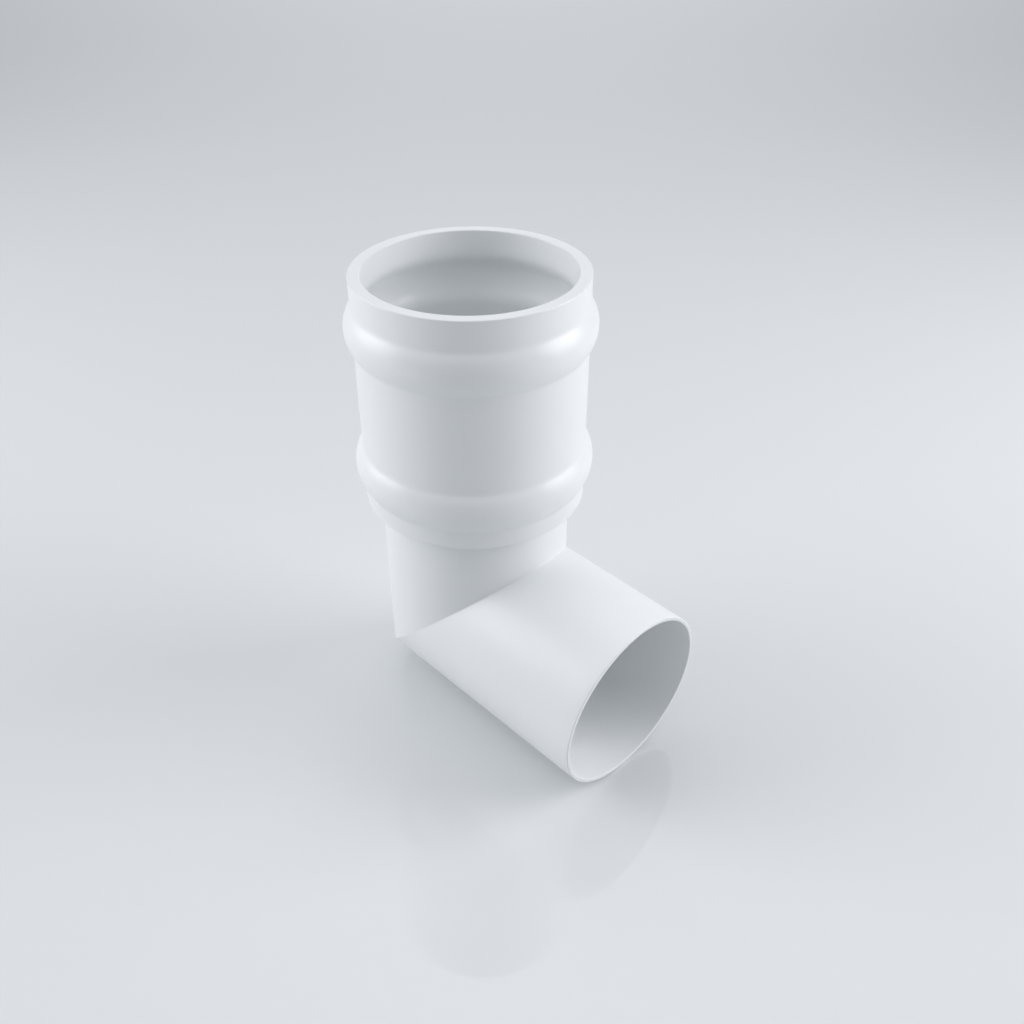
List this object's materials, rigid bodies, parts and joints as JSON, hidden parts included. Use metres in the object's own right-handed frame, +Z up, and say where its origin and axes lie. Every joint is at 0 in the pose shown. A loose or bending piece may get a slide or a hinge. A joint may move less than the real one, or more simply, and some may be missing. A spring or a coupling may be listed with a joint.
{
  "type": "downspout elbow",
  "caption": "Rainwater elbow: a deep round socket with rounded beads on top, and a thin round pipe that turns at a sharp mitre into a short, slightly falling outlet.",
  "frame": {"origin": "centre of the socket's mouth, in the plane of its rim", "axes": "+Z up out of the mouth along the downpipe, +X horizontal on the side where the outlet points, XZ the plane of symmetry"},
  "size_m": [0.1374, 0.0944, 0.192],
  "materials": {
    "white_plastic": "smooth white, softly glossy, as moulded"
  },
  "bodies": {
    "root": {"downspout_elbow": "white_plastic"}
  },
  "joints": []
}
